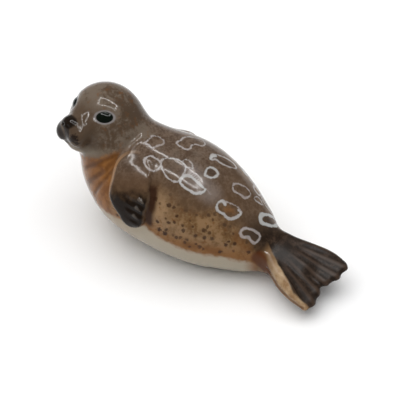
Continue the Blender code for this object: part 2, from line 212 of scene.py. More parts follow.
def bar(p, start, end, r_start, r_end):
    start, end = np.asarray(start, float), np.asarray(end, float)
    run = end - start
    t = np.clip(((p - start) @ run) / (run @ run), 0.0, 1.0)
    away = p - start - t[..., None] * run
    return np.linalg.norm(away, axis=-1) - (r_start + (r_end - r_start) * t)


def join(a, b, blend):
    h = np.maximum(blend - np.abs(a - b), 0.0) / blend
    return np.minimum(a, b) - h * h * blend / 4.0


def cut(a, b, blend):
    return -join(-a, -b, blend)


def ease(x, lo, hi):
    t = np.clip((x - lo) / (hi - lo), 0.0, 1.0)
    return t * t * (3.0 - 2.0 * t)


def line_distance(p, points):
    """Distance to a line through the points, and how far along it, from 0 to 1."""
    best = np.full(p.shape[:-1], 1e9)
    where = np.zeros(p.shape[:-1])
    count = len(points) - 1
    for i in range(count):
        a, b = np.asarray(points[i], float), np.asarray(points[i + 1], float)
        run = b - a
        t = np.clip(((p - a) @ run) / (run @ run), 0.0, 1.0)
        d = np.linalg.norm(p - a - t[..., None] * run, axis=-1)
        nearer = d < best
        best = np.where(nearer, d, best)
        where = np.where(nearer, (i + t) / count, where)
    return best, where


def groove(p, points, depth, width, fade=0.25):
    d, t = line_distance(p, points)
    ends = ease(t, 0.0, fade) * (1.0 - ease(t, 1.0 - fade, 1.0))
    return depth * np.exp(-np.square(d / width)) * ends


def trunk(p):
    d = join(ellipsoid(p, TRUNK_AT, TRUNK_R), ellipsoid(p, CHEST_AT, CHEST_R), TRUNK_BLEND)
    d = join(d, ellipsoid(p, RUMP_AT, RUMP_R), TRUNK_BLEND)
    d = join(d, bar(p, TAIL_FROM, TAIL_TO, *TAIL_R), TRUNK_BLEND)
    return join(d, bar(p, NECK_FROM, np.add(HEAD_AT, NECK_TO_HEAD), *NECK_R), TRUNK_BLEND)


def fan_place(p):
    q = (p - np.asarray(FAN_ROOT)) @ FAN.T
    return q[..., 0], q[..., 1], q[..., 2]


def fan_middle(u, v):
    """Where the hind flippers' middle layer lies, downwards from their plane."""
    middle = -NEAR_LOBE_RAISED * ease(v, *LOBE_RAISED)
    return middle * (1.0 - NEAR_LOBE_FLATTER * ease(u, *FLATTER))


def fan(p):
    """The hind flippers: a rounded plate with a notch, ten rays and a creased near side."""
    u, v, w = fan_place(p)
    half = FAN_HALF_ROOT + (FAN_HALF_TIP - FAN_HALF_ROOT) * ease(u, *SPREAD)
    near_lobe = ease(v, *LOBE)
    bow = NEAR_LOBE_WIDER * near_lobe * ease(u, *BOW)
    thick = FAN_THICK_ROOT + (FAN_THICK_TIP - FAN_THICK_ROOT) * ease(u, *THINNING)
    near_side = ease(v, *LOBE_THICK) * (1.0 - ease(u, *FLATTER))
    thick = thick + NEAR_LOBE_THICKER * near_side
    angle = np.arctan2(v, u + RAYS_MEET)
    digit = np.cos(angle / math.radians(RAY_PITCH) * math.pi)
    end = FAN_LENGTH + RAY_BEAD * digit - NEAR_LOBE_SHORTER * near_lobe
    end = end - FAN_NOTCH_DEPTH * np.exp(-np.square((v - FAN_NOTCH_AT) / FAN_NOTCH_WIDTH))
    off_middle = w - fan_middle(u, v)
    rays = RAY_DEPTH * (0.5 - 0.5 * digit) * ease(u, *RAYS)
    off_parting = v - FAN_NOTCH_AT * u / FAN_LENGTH
    parting = PARTING_DEPTH * np.exp(-np.square(off_parting / PARTING_WIDTH)) * ease(u, *PARTING)
    d = cut(np.abs(v) - half - bow, np.abs(off_middle) - thick + rays + parting, FAN_SIDE_ROUND)
    d = cut(d, u - end, FAN_END_ROUND)
    d = cut(d, -u - FAN_BACK, FAN_BACK_ROUND)
    crease = CREASE_DEPTH * np.exp(-np.square((off_middle + CREASE_UP) / CREASE_WIDTH))
    crease = crease * ease(v, *CREASE_SIDE)
    return d + crease * ease(u, *CREASE_STARTS) * (1.0 - ease(u, *CREASE_ENDS))


def flipper_place(p, places):
    """A front flipper's outline distance, share of its length, and distances across and along."""
    (top, r_top), (mid, r_mid), (tip, r_tip) = places
    outline = join(bar(p, top, mid, r_top, r_mid), bar(p, mid, tip, r_mid, r_tip), FLIPPER_BEND)
    top, tip = np.asarray(top), np.asarray(tip)
    run = tip - top
    rear = unit(np.array([0.0, 1.0, 0.0]) - run * (run[1] / (run @ run)))
    return outline, ((p - top) @ run) / (run @ run), (p - top) @ rear, (p - top) @ unit(run)


def flipper(p, skin, places):
    """A pad that stands off the skin inside an outline, fading out at the shoulder."""
    outline, share, across, along = flipper_place(p, places)
    lift = FLIPPER_RAISE * ease(share, *RISE) + TIP_RAISE * ease(share, *RISE_AT_TIP)
    lift = lift - SHOULDER_SINK * (1.0 - ease(share, *SINK))
    row = along - TOE_SLANT * across
    toes = -TOE_DEPTH * np.cos((row - TOE_FIRST) * 2.0 * math.pi / TOE_PITCH)
    toes = toes * ease(across, *TOES) * ease(row, TOE_FIRST - TOE_PITCH, TOE_FIRST)
    return cut(skin - lift + toes, outline, FLIPPER_EDGE)


def head(p, d):
    d = join(d, ellipsoid(p, HEAD_AT, SKULL_R, HEAD), SKULL_BLEND)
    d = join(d, ellipsoid(p, on_head(SNOUT_AT), SNOUT_R, HEAD), SNOUT_BLEND)
    for side in (-1, 1):
        d = join(d, ellipsoid(p, on_head(PAD_AT, side), PAD_R, HEAD), PAD_BLEND)
    d = join(d, ellipsoid(p, on_head(CHIN_AT), CHIN_R, HEAD), CHIN_BLEND)
    d = join(d, ellipsoid(p, on_head(NOSE_AT), NOSE_R, HEAD), NOSE_BLEND)
    for side in (-1, 1):
        lip = [on_head(at, side) for at in MOUTH]
        d = d + groove(p, lip, MOUTH_DEPTH, MOUTH_WIDTH)
        nostril = ellipsoid(p, on_head(NOSTRIL_AT, side), NOSTRIL_R, HEAD)
        d = cut(d, -nostril, NOSTRIL_BLEND)
        axes = eye_axes(side)
        radii = (EYE_HALF_LENGTH, EYE_DEPTH, EYE_HALF_HEIGHT)
        ball = ellipsoid(p, on_head(EYE_AT, side), radii, axes)
        d = d + SOCKET_DEPTH * np.exp(-np.square(np.maximum(ball, 0.0) / SOCKET_REACH))
        d = join(d, ball, EYE_BLEND)
    return d


def seal(p):
    """Signed distance to the figurine's skin, in millimetres, negative inside."""
    d = trunk(p)
    skin = d
    for places in (LEFT_FLIPPER, RIGHT_FLIPPER):
        d = join(d, flipper(p, skin, places), FLIPPER_BLEND)
    for start, end in CLAWS:
        d = join(d, bar(p, start, end, CLAW_R, CLAW_TAPER * CLAW_R), CLAW_BLEND)
    d = join(d, fan(p), FAN_BLEND)
    d = head(p, d)
    for points, depth, width in FOLDS:
        d = d + groove(p, points, depth, width)
    return cut(d, -p[..., 2], FLOOR_ROUND)


CORNERS = np.array([(1, 1, 1), (1, -1, -1), (-1, 1, -1), (-1, -1, 1)], float)


def slope(field, p, step=0.015):
    """Gradient of the field from its values at a small tetrahedron's corners."""
    return sum(field(p + c * step)[:, None] * c for c in CORNERS) / (4.0 * step)


def shifted(a, corner):
    """The grid's values at one corner of each cell."""
    cut_to = tuple(slice(c, n - 1 + c) for c, n in zip(corner, a.shape))
    return a[cut_to]


def skin(axes, values, size):
    """One point in each grid cell that the skin crosses, joined by four-sided faces."""
    inside = values < 0.0
    corners = [(i, j, k) for i in (0, 1) for j in (0, 1) for k in (0, 1)]
    filled = sum(shifted(inside, c).astype(np.int8) for c in corners)
    crossed = (filled > 0) & (filled < 8)
    number = np.full(crossed.shape, -1, dtype=np.int64)
    number[crossed] = np.arange(np.count_nonzero(crossed))
    total = np.zeros((np.count_nonzero(crossed), 3))
    count = np.zeros(len(total))
    for axis in range(3):
        step = tuple(int(axis == i) for i in range(3))
        for c in corners:
            if c[axis]:
                continue
            va = shifted(values, c)[crossed]
            vb = shifted(values, tuple(np.add(c, step)))[crossed]
            hit = (va < 0.0) != (vb < 0.0)
            at = np.tile(np.array(c, float), (len(total), 1))
            at[:, axis] += np.where(hit, va / np.where(hit, va - vb, 1.0), 0.0)
            total[hit] += at[hit]
            count[hit] += 1.0
    cell = np.argwhere(crossed)
    low = np.array([a[0] for a in axes])
    points = low + (cell + total / count[:, None]) * size
    faces = []
    for axis in range(3):
        side, over = (axis + 1) % 3, (axis + 2) % 3
        start = [slice(1, -1)] * 3
        start[axis] = slice(0, -1)
        end = list(start)
        end[axis] = slice(1, None)
        a, b = inside[tuple(start)], inside[tuple(end)]
        at = np.argwhere(a != b) + np.array([int(i != axis) for i in range(3)])
        outward = a[a != b]
        ring = []
        for ds, do in ((-1, -1), (0, -1), (0, 0), (-1, 0)):
            q = at.copy()
            q[:, side] += ds
            q[:, over] += do
            ring.append(number[q[:, 0], q[:, 1], q[:, 2]])
        quad = np.stack(ring, axis=1)
        quad[~outward] = quad[~outward][:, ::-1]
        faces.append(quad)
    return points, np.concatenate(faces)


# Fine mesh: the grid, the coarse blocks it is searched in, how far outside a block the skin
# may lie, how points are moved onto the skin, what counts as flat, and the box searched
FINE_GRID = 0.25
BLOCK = 4
SKIN_MARGIN = 0.7
LEAST_SLOPE, LONGEST_STEP = 0.25, 0.5
FLAT_TOLERANCE = 0.004
BOX_LOW, BOX_HIGH = (-15.0, -31.0, -1.0), (14.0, 33.0, 31.0)

# The viewing side: the plane that marks are laid out on passes through the middle of
# the floor and faces the painter's eye, which is also where the camera stands
EYE_AZIMUTH, EYE_ELEVATION = 118.0, 45.0
EYE_DISTANCE = 524.6
EYE_AIM_UP = 8.38
EYE_SHIFT = (-0.75, 0.60, 0.0)
FOCAL_LENGTH, SENSOR = 247.86, 36.0
CAMERA_REACH = (0.01, 20.0)

# Pale ring marks of the coat: line half width, how blue and pale the line is from 0 to 1,
# whether it closes, then points to the right and up the plane
RINGS = (
    (0.12, 0.2, True, ((-10.4, 19.2), (-9.7, 20.0), (-9.0, 20.6), (-7.9, 20.4), (-6.9, 19.7),
        (-7.0, 19.0), (-8.1, 18.7), (-9.2, 18.3), (-9.7, 18.9))),
    (0.15, 0.3, True, ((-4.4, 19.4), (-3.6, 19.8), (-3.1, 20.3), (-1.9, 20.4), (-0.7, 20.2), (0.5, 19.8),
        (1.0, 19.0), (0.3, 18.7), (-0.7, 19.0), (-1.5, 18.8), (-1.9, 18.2), (-2.7, 18.0), (-3.6, 18.5),
        (-4.3, 19.0))),
    (0.15, 0.5, True, ((2.0, 16.8), (2.8, 17.1), (4.2, 16.7), (5.7, 15.9), (6.6, 15.1), (6.8, 14.4),
        (5.3, 14.8), (4.0, 15.4), (3.0, 16.1), (2.1, 16.1))),
    (0.34, 1.0, False, ((2.0, 16.2), (2.3, 16.7), (2.9, 16.9))),
    (0.19, 0.9, True, ((1.0, 13.5), (1.4, 14.3), (2.1, 14.6), (3.0, 14.1), (3.4, 13.4), (2.9, 12.8),
        (2.0, 12.7), (1.0, 13.1))),
    (0.13, 0.1, True, ((6.3, 11.2), (7.0, 11.5), (8.4, 11.0), (9.3, 10.2), (9.6, 9.4), (8.6, 8.7),
        (7.9, 9.3), (7.1, 9.7), (6.4, 10.2))),
    (0.22, 0.7, False, ((4.8, 7.6), (4.2, 8.2), (3.5, 7.9), (3.2, 7.1), (3.6, 6.2), (4.6, 5.6),
        (5.2, 5.0), (6.2, 4.8), (7.3, 5.3), (7.8, 5.9), (7.4, 6.5))),
    (0.24, 0.0, True, ((7.8, 2.3), (8.2, 2.9), (9.2, 2.9), (10.3, 2.5), (11.3, 1.8), (11.3, 1.0),
        (10.5, 0.2), (9.7, 0.6), (9.2, 1.3), (8.2, 1.3), (7.8, 1.8))),
    (0.36, 1.0, True, ((11.6, 5.4), (12.5, 5.6), (13.6, 5.3), (14.5, 4.4), (14.6, 3.7), (13.9, 3.4),
        (12.7, 3.7), (11.7, 4.2))),
    (0.14, 0.5, False, ((9.5, 12.2), (10.2, 11.4), (10.9, 10.4))),
    (0.11, 0.3, True, ((10.3, 8.8), (10.9, 9.0), (11.6, 8.3), (11.9, 7.5), (11.3, 7.8), (10.6, 8.3))),
    (0.16, 0.3, True, ((-10.5, 16.2), (-9.4, 16.8), (-8.6, 16.4), (-7.7, 15.8), (-7.5, 15.0),
        (-8.2, 14.1), (-9.2, 14.0), (-10.1, 14.6), (-10.6, 15.4))),
    (0.15, 0.6, True, ((-7.3, 15.8), (-6.9, 16.2), (-5.2, 16.3), (-3.8, 15.9), (-2.8, 14.9), (-3.0, 13.6),
        (-4.2, 11.9), (-5.8, 12.3), (-6.8, 13.5), (-7.4, 14.9))),
    (0.20, 0.9, True, ((-3.8, 11.9), (-2.9, 13.0), (-1.7, 12.8), (0.1, 11.2), (1.0, 10.2), (-0.7, 9.6),
        (-2.2, 10.3), (-3.4, 11.2))),
    (0.11, 0.4, True, ((-3.2, 15.9), (-2.5, 16.1), (-1.6, 15.4), (-1.4, 14.5), (-2.2, 14.6),
        (-3.0, 15.1))),
    (0.06, 0.0, False, ((5.0, 8.0), (6.2, 7.6), (7.2, 7.0), (8.0, 6.0))),
)
# The far side repeats some rings: which one, where its middle goes on that side's own
# plane, and how far it is turned, in degrees
FAR_RINGS = (
    (4, (10.8, 7.6), 40.0), (12, (7.0, 6.2), 200.0), (11, (3.0, 4.8), 90.0), (4, (-1.0, 3.4), 150.0),
    (7, (-4.6, 2.0), 160.0), (5, (-8.0, 0.6), 70.0), (1, (8.8, 3.2), 30.0), (11, (1.4, 1.2), 250.0),
)
RING_STEPS = 6

# The room's brightness, and that of the dimmer part on the painter's side; how high that part
# is centred, and the cosines between which it sets in
ROOM_BRIGHT, ROOM_DIM = 0.38, 0.30
ROOM_DIM_ELEVATION = 15.0
ROOM_DIM_FROM = (-0.2, 0.9)

# The overhead window, in metres: its middle, its two sizes and the width of its lit border,
# and the border's power for each square metre
WINDOW_AT = (0.0, -0.03, 0.50)
WINDOW_SIZE = (0.20, 0.46)
WINDOW_BAR = 0.014
WINDOW_GLOW = 190.0

# The wide soft lamp over everything: its middle and width, in metres, and its power in watts
FILL_AT = (0.08, -0.22, 0.70)
FILL_WIDTH, FILL_POWER = 1.2, 8.3

# The floor: its width in metres, colour and roughness
FLOOR_SIZE, FLOOR_COLOUR, FLOOR_ROUGH = 6.0, (0.92, 0.92, 0.92), 0.9

# Heights of the coat's borders on the flank: distance behind the middle, height
BELLY_LINE = ((-26.0, 6.5), (-20.0, 8.0), (-16.0, 9.6), (-12.0, 10.6), (-6.5, 12.0), (1.0, 8.4),
              (8.0, 7.3), (14.0, 6.2))
BACK_LINE = ((-14.0, 16.0), (-6.0, 18.6), (0.0, 17.3), (6.0, 15.8), (9.0, 13.6), (11.5, 11.4), (15.0, 8.8))
# The throat's border, down from the head's middle and how far it bows, and the chest's, behind
# the middle, how far it leans and the height that it leans about
THROAT_DOWN, THROAT_BOW = 6.8, 0.05
CHEST_BACK, CHEST_LEAN, CHEST_UP = -13.8, 0.1, 14.0
# The strokes in the folds, as a share of a fold's width; how far inwards from an eye its
# outline counts, and the distance given beyond that
FOLD_STROKE = 0.3
EYE_BACK, FAR_OFF = -1.5, 9.0
FLIPPER_PLACES = ("flipper", "flipper_along", "flipper_rear")

# Brush marks, from broad clouds to grain: waves per metre, detail and roughness of the noise
BRUSH_MARKS = ((160.0, 3.0, 0.55), (700.0, 3.0, 0.6), (950.0, 2.0, 0.7), (2200.0, 2.0, 0.6))
# Where a ring's paint is full and where it ends, outwards from its line's edge
RING_EDGE = (-0.08, 0.14)
# The glaze's roughness, and what brush marks, rings and the worn tail add to it; its ripples,
# whose height is in metres; and how strongly it refracts
GLOSS, MARK_ROUGH, RING_ROUGH, WORN_ROUGH = 0.09, 0.05, 0.08, 0.30
RIPPLE_STRENGTH, RIPPLE_HEIGHT = 0.2, 0.00004
GLAZE_IOR = 1.25
# Specks: the most in a square metre, the smallest as a share of the largest, and their draw
MOST_SPECKS, SMALLEST_SPECK, SPECK_SEED = 0.55e6, 0.4, 3

# Dark blotch of the near whisker pad and dark line between the pads, in the head's frame
PAD_BLOTCH, PAD_BLOTCH_R = (9.4, 2.35, -1.65), 1.10
LIP_LINE = ((9.9, 0.45, -0.4), (9.7, 0.55, -1.5), (9.2, 0.3, -2.8))
LIP_LINE_R = 0.62

# Red brown patch and fine line on the near side of the tail
TAIL_PATCH = ((4.5, 14.9, 7.4), (4.7, 16.8, 4.8), 1.45, 1.05)
TAIL_LINE = ((5.0, 17.0, 4.9), (6.0, 18.8, 4.9), (6.9, 20.2, 4.3), (7.5, 22.0, 4.1), (8.2, 24.7, 3.3),
             (8.5, 26.0, 3.3))

# Fine pale strokes at the end of the largest ring, and how many: pale paint and a painted reflection
PAINT_AND_SHEEN_LINE = ((-1.6, 13.6), (-0.2, 11.9), (1.0, 10.6), (2.0, 9.5))
PAINT_AND_SHEEN_REACH, PAINT_AND_SHEEN_STREAKS = 0.85, 15

# Soft spots in rings and on the flank: radius, then points to the right and up the plane
SPOTS = {
    "ochre_spot": ((0.55, ((5.4, 6.5), (6.0, 6.2))),),
    "dark_spot": ((0.5, ((8.7, 2.1), (9.5, 1.9), (10.6, 1.2))), (0.5, ((12.6, 5.0), (13.6, 4.2))),
                  (0.55, ((1.9, 13.8), (2.5, 13.5))), (0.35, ((3.2, 16.4), (5.7, 15.0)))),
    "orange_spot": ((0.5, ((-2.8, -0.1), (-1.0, -0.5))), (0.6, ((1.4, -0.9), (3.4, -1.5))),
                    (1.0, ((7.2, 1.4), (9.2, -0.6)))),
}


def near_skin(low, high, size):
    """The field on a fine grid, worked out only in the blocks that the skin can cross."""
    counts = [int(math.ceil((b - a) / size / BLOCK)) * BLOCK for a, b in zip(low, high)]
    axes = [a + np.arange(n) * size for a, n in zip(low, counts)]
    middles = [a[::BLOCK] + (BLOCK - 1) * size / 2.0 for a in axes]
    centres = np.stack(np.meshgrid(*middles, indexing="ij"), axis=-1)
    rough = seal(centres.reshape(-1, 3)).reshape(centres.shape[:3])
    reach = BLOCK * size * math.sqrt(3.0) / 2.0 + SKIN_MARGIN
    values, near = (a.repeat(BLOCK, 0).repeat(BLOCK, 1).repeat(BLOCK, 2) for a in (rough, abs(rough) < reach))
    at = np.argwhere(near)
    points = np.stack([axes[i][at[:, i]] for i in range(3)], axis=1)
    values[near] = seal(points)
    return axes, values


def settle(p):
    """Moves points onto the skin in two steps along one slope."""
    g = slope(seal, p)
    g /= np.maximum(np.einsum("ij,ij->i", g, g), LEAST_SLOPE)[:, None]
    for _ in range(2):
        p = p - np.clip(seal(p), -LONGEST_STEP, LONGEST_STEP)[:, None] * g
    return p


def eye_frame(azimuth, elevation):
    """Right, up and back axes of a view of the seal."""
    a, e = math.radians(azimuth), math.radians(elevation)
    right = np.array([math.cos(a), math.sin(a), 0.0])
    back = np.array([math.sin(a) * math.cos(e), -math.cos(a) * math.cos(e), math.sin(e)])
    return right, np.cross(back, right), back


def smooth_line(points, closed):
    """A smooth line through points on the plane."""
    points = [np.asarray(p, float) for p in points]
    count = len(points)
    last = count - 1
    line = []
    for i in range(count if closed else last):
        around = [(i + k) % count if closed else min(max(i + k, 0), last) for k in (-1, 0, 1, 2)]
        a, b, c, d = (points[k] for k in around)
        for t in np.linspace(0.0, 1.0, RING_STEPS, endpoint=False):
            line.append(0.5 * (2.0 * b + (c - a) * t + (2.0 * a - 5.0 * b + 4.0 * c - d) * t * t
                               + (3.0 * b - a - 3.0 * c + d) * t ** 3))
    line.append(line[0] if closed else points[-1])
    return line


def laid_on_skin(tree, line, side=1):
    """Where a line drawn on one side's viewing plane falls on the skin."""
    right, up, back = eye_frame(EYE_AZIMUTH * side, EYE_ELEVATION)
    eye = up * EYE_AIM_UP + back * EYE_DISTANCE
    laid = []
    for x, y in line:
        way = right * x + up * y - eye
        hit = tree.ray_cast(Vector(eye), Vector(way).normalized())[0]
        if hit is not None:
            laid.append(tuple(hit))
    return laid


def ring_lines(tree):
    """The rings laid on both sides of the skin: (half width, tint, points)."""
    laid = []
    for half, tint, closed, points in RINGS:
        laid.append((half, tint, laid_on_skin(tree, smooth_line(points, closed))))
    for which, middle, turn in FAR_RINGS:
        half, tint, closed, points = RINGS[which]
        line = np.array(smooth_line(points, closed))
        c, s = math.cos(math.radians(turn)), math.sin(math.radians(turn))
        line = (line - line.mean(axis=0)) @ np.array(((c, s), (-s, c))) + middle
        laid.append((half, tint, laid_on_skin(tree, line, -1)))
    return laid


def eye_outline(p, side):
    """Distance outside an eye's oval edge."""
    along, out, high = ((p - on_head(EYE_AT, side)) @ eye_axes(side).T).T
    ring = np.sqrt(np.square(along / EYE_HALF_LENGTH) + np.square(high / EYE_HALF_HEIGHT))
    return np.where(out > EYE_BACK, (ring - 1.0) * EYE_HALF_HEIGHT, FAR_OFF)


def paint_places(p):
    """Distances and places over the skin that the glaze colours are mixed from."""
    q = (p - np.asarray(HEAD_AT)) @ HEAD.T
    x, y, z = p.T
    u, v, w = fan_place(p)
    places = {
        "belly": z - np.interp(y, *zip(*BELLY_LINE)),
        "back": z - np.interp(y, *zip(*BACK_LINE)),
        "head_forward": q[:, 0],
        "head_left": q[:, 1],
        "head_up": q[:, 2],
        "throat": q[:, 2] + THROAT_DOWN - THROAT_BOW * np.square(q[:, 1]),
        "chest": CHEST_BACK - CHEST_LEAN * (z - CHEST_UP) - y,
        "fan_along": u,
        "fan_across": v,
        "fan_up": fan_middle(u, v) - w,
    }
    left, right = flipper_place(p, LEFT_FLIPPER), flipper_place(p, RIGHT_FLIPPER)
    for name, a, b in zip(FLIPPER_PLACES, left, right):
        places[name] = np.where(x > 0.0, a, b)
    places["claw"] = np.min([bar(p, a, b, CLAW_R, CLAW_TAPER * CLAW_R) for a, b in CLAWS], axis=0)
    places["eye"] = np.min([eye_outline(p, side) for side in (-1, 1)], axis=0)
    places["tail_patch"] = bar(p, *TAIL_PATCH)
    places["tail_line"] = line_distance(p, TAIL_LINE)[0]
    places["nose"] = ellipsoid(p, on_head(NOSE_AT), NOSE_R, HEAD)
    places["pad"] = np.min([ellipsoid(p, on_head(PAD_AT, s), PAD_R, HEAD) for s in (-1, 1)], axis=0)
    places["blotch"] = np.linalg.norm(q - np.asarray(PAD_BLOTCH), axis=-1) - PAD_BLOTCH_R
    places["lip_line"] = line_distance(q, LIP_LINE)[0] - LIP_LINE_R
    folds = [line_distance(p, line)[0] - FOLD_STROKE * width for line, _, width in FOLDS]
    places["fold"] = np.min(folds, axis=0)
    return places


# Sockets found by number, as several share a name: a colour mix's share, colours and result,
# and a random number's least, most and result
MIX_SHARE, MIX_A, MIX_B, MIXED = 0, 6, 7, 2
LEAST, MOST, DRAWN = 2, 3, 1


class Nodes:
    """A node tree whose nodes are all made by one method."""

    def __init__(self, tree):
        self.tree = tree

    def node(self, kind, settings=None, inputs=None, output=0):
        node = self.tree.nodes.new(kind)
        for key, value in (settings or {}).items():
            setattr(node, key, value)
        for key, value in (inputs or {}).items():
            self.feed(node.inputs[key], value)
        return Value(self, node.outputs[output])

    def feed(self, socket, value):
        if isinstance(value, Value):
            self.tree.links.new(value.socket, socket)
        elif socket.type == "RGBA":
            socket.default_value = (*value, 1.0)
        else:
            socket.default_value = value


def speckled(places):
    """How densely the specks lie: on the tan of the flanks, thinning out at its borders."""
    share = ease(places["belly"], 0.2, 1.2) * (1.0 - ease(places["back"], -0.5, 3.0))
    share = share * (1.0 - ease(places["fan_along"], -3.0, -1.0)) * (1.0 - ease(places["chest"], -1.0, 0.5))
    return share * ease(places["flipper"], 0.5, 1.2)


class Paint(Nodes):
    """A material's nodes."""

    def __init__(self, name):
        self.material = bpy.data.materials.new(name)
        self.material.use_nodes = True
        super().__init__(self.material.node_tree)
        self.shader = self.tree.nodes["Principled BSDF"]
        self.kept = {}

    def once(self, key, kind, settings, output):
        """A node that is made at its first use."""
        if key not in self.kept:
            self.kept[key] = self.node(kind, settings, output=output)
        return self.kept[key]

    def place(self, name):
        """A number kept on the skin's points."""
        return self.once(name, "ShaderNodeAttribute", {"attribute_name": name}, "Fac")

    def noise(self, scale, detail, roughness):
        """Noise around zero, from about -0.5 to 0.5; scale is in waves per metre."""
        spot = self.once("spot", "ShaderNodeTexCoord", None, "Object")
        given = {"Vector": spot, "Scale": scale, "Detail": detail, "Roughness": roughness}
        return self.node("ShaderNodeTexNoise", None, given, "Fac") - 0.5

    def over(self, colour, *coats):
        """Lays coats of paint over a colour, each a share from 0 to 1 and its paint."""
        for share, paint in coats:
            colour = self.mix(share, colour, paint)
        return colour

    def mix(self, share, a, b):
        given = {MIX_SHARE: share, MIX_A: a, MIX_B: b}
        return self.node("ShaderNodeMix", {"data_type": "RGBA"}, given, MIXED)


def both_ways(operation):
    """An operator's method and its reflected form."""
    def forward(self, other):
        return self.math(operation, self, other)

    def reflected(self, other):
        return self.math(operation, other, self)

    return forward, reflected


class Value:
    """A socket whose sums and products add Math nodes."""

    def __init__(self, nodes, socket):
        self.nodes = nodes
        self.socket = socket

    def math(self, operation, *values):
        made = self.nodes.node("ShaderNodeMath", {"operation": operation})
        for socket, value in zip(made.socket.node.inputs, values):
            self.nodes.feed(socket, value)
        return made

    __add__, __radd__ = both_ways("ADD")
    __sub__, __rsub__ = both_ways("SUBTRACT")
    __mul__, __rmul__ = both_ways("MULTIPLY")
    __truediv__, __rtruediv__ = both_ways("DIVIDE")
    lowest, highest, angle = (both_ways(name)[0] for name in ("MINIMUM", "MAXIMUM", "ARCTAN2"))

    def __abs__(self):
        return self.math("ABSOLUTE", self)

    def wave(self):
        return self.math("COSINE", self)

    def rise(self, low, high):
        """0 below low, 1 above high, smooth between."""
        return self.nodes.node("ShaderNodeMapRange", {"interpolation_type": "SMOOTHSTEP"},
                               {"Value": self, "From Min": low, "From Max": high}, "Result")

    def fall(self, low, high):
        return 1.0 - self.rise(low, high)


# Each of these functions returns coats, a share and a paint each.  Distances are in
# millimetres, less than 0 inside a mark, and made wavy by the brush marks
def flank_and_back(g, looks, marks):
    """A tan flank's brown and orange clouds and dark specks, and the brown back."""
    broad, fine, blots, grain = marks
    belly, back, outline = g.place("belly"), g.place("back"), g.place("flipper")
    speck = (g.place("speck") + fine * 0.70 + grain * 0.80).fall(-0.16, 0.16)
    coat = g.over(
        looks.back,
        ((fine * 2.6 + grain * 2.4 + 0.5).rise(0.0, 1.0), looks.back_dark),
        ((broad * 2.4 + 0.3).rise(0.3, 0.9) * back.rise(1.0, 4.0) * 0.5, looks.back_grey),
        ((back + broad * 3.0).fall(0.0, 4.0) * 0.75, looks.back_warm))
    return (
        ((fine * 3.4 + broad * 1.6 + grain * 1.6 + 0.42).rise(0.0, 1.0), looks.tan_dark),
        ((outline + broad * 6.0).fall(2.0, 8.5) * 0.55, looks.tan_light),
        ((belly + broad * 6.0 + fine * 3.0).fall(0.2, 3.6) * 0.8, looks.orange),
        ((blots + broad * 0.4).rise(0.05, 0.20) * 0.65, looks.neck_brown),
        ((g.place("orange_spot") + fine * 1.2).fall(-0.3, 0.6) * 0.6, looks.neck_brown),
        (speck * (broad + 0.9), looks.speck),
        ((back + broad * 3.5 + fine * 1.5).rise(-2.2, 1.4), coat))


def neck_and_head(g, looks, marks):
    """An ochre neck with brown strokes in its folds, and a grey brown head."""
    broad, fine, blots, grain = marks
    forward, throat = g.place("head_forward"), g.place("throat")
    on_chest = (g.place("chest") + fine * 0.8).rise(-0.5, 0.6) * (throat + fine * 1.5).fall(-0.3, 1.4)
    on_skull = (throat + fine * 1.5).rise(-0.3, 1.4) * (forward + broad * 3.0).rise(-5.6, -1.5)
    neck = g.over(
        looks.neck,
        ((fine * 2.2 + broad * 1.5 + 0.5).rise(0.1, 0.9), looks.neck_brown),
        (g.place("fold").fall(-0.1, 0.6) * (fine + 0.75).rise(0.2, 0.8) * 0.9, looks.stroke))
    coat = g.over(
        looks.head,
        ((fine * 2.2 + broad * 3.0 + grain * 1.2 + 0.43).rise(0.1, 0.9), looks.head_dark),
        ((blots + fine * 0.5).rise(0.02, 0.24) * 0.4, looks.neck_brown),
        ((forward + fine * 1.5).rise(4.2, 6.6) * 0.9, looks.head_dark),
        ((g.place("head_up") + fine * 1.5).fall(-5.6, -2.6), looks.throat))
    return (on_chest, neck), (on_skull, coat)


def belly_and_tail(g, looks, marks):
    """A pale belly, and dark hind flippers with worn rays and a cream near side."""
    broad, fine, _, grain = marks
    along, across = g.place("fan_along"), g.place("fan_across")
    under = (g.place("belly") + broad * 2.4 + fine * 1.6).fall(-0.6, 0.6) * along.fall(-4.0, -1.5)
    ray = across.angle(along + RAYS_MEET) * (math.pi / math.radians(RAY_PITCH))
    ray = ray.wave().rise(-0.2, 1.0) * along.rise(0.5, 5.0) * (fine + 0.8)
    tail = g.mix((fine * 1.7 + grain * 0.8 + 0.30).rise(0.1, 0.9).highest(ray), looks.tail, looks.tail_grey)
    cream_edge = across - (along * 0.5 + 2.2).lowest(6.0)
    near_side = (cream_edge + fine * 0.6).rise(-0.15, 0.35) * (along + broad * 1.5).rise(-2.3, -1.0)
    cream = g.over(
        looks.cream,
        ((fine * 2.0 + broad * 1.5 + 0.5).rise(0.2, 0.9), looks.tan),
        ((along + fine * 3.0).fall(-1.0, 4.5) * 0.85, looks.tan_dark))
    return (
        (under, looks.belly),
        (under * (g.place("chest") + broad * 2.0).rise(-7.0, 0.5) * 0.35, looks.tan_light),
        ((along + broad * 4.0 + g.place("fan_up") * 0.9).rise(-2.0, 1.8), tail),
        (near_side, cream),
        ((g.place("tail_line") + fine * 0.3).fall(0.10, 0.45) * 0.75, looks.red_brown),
        ((g.place("tail_patch") + fine * 0.8).fall(-0.3, 0.5) * 0.9, looks.red_brown))


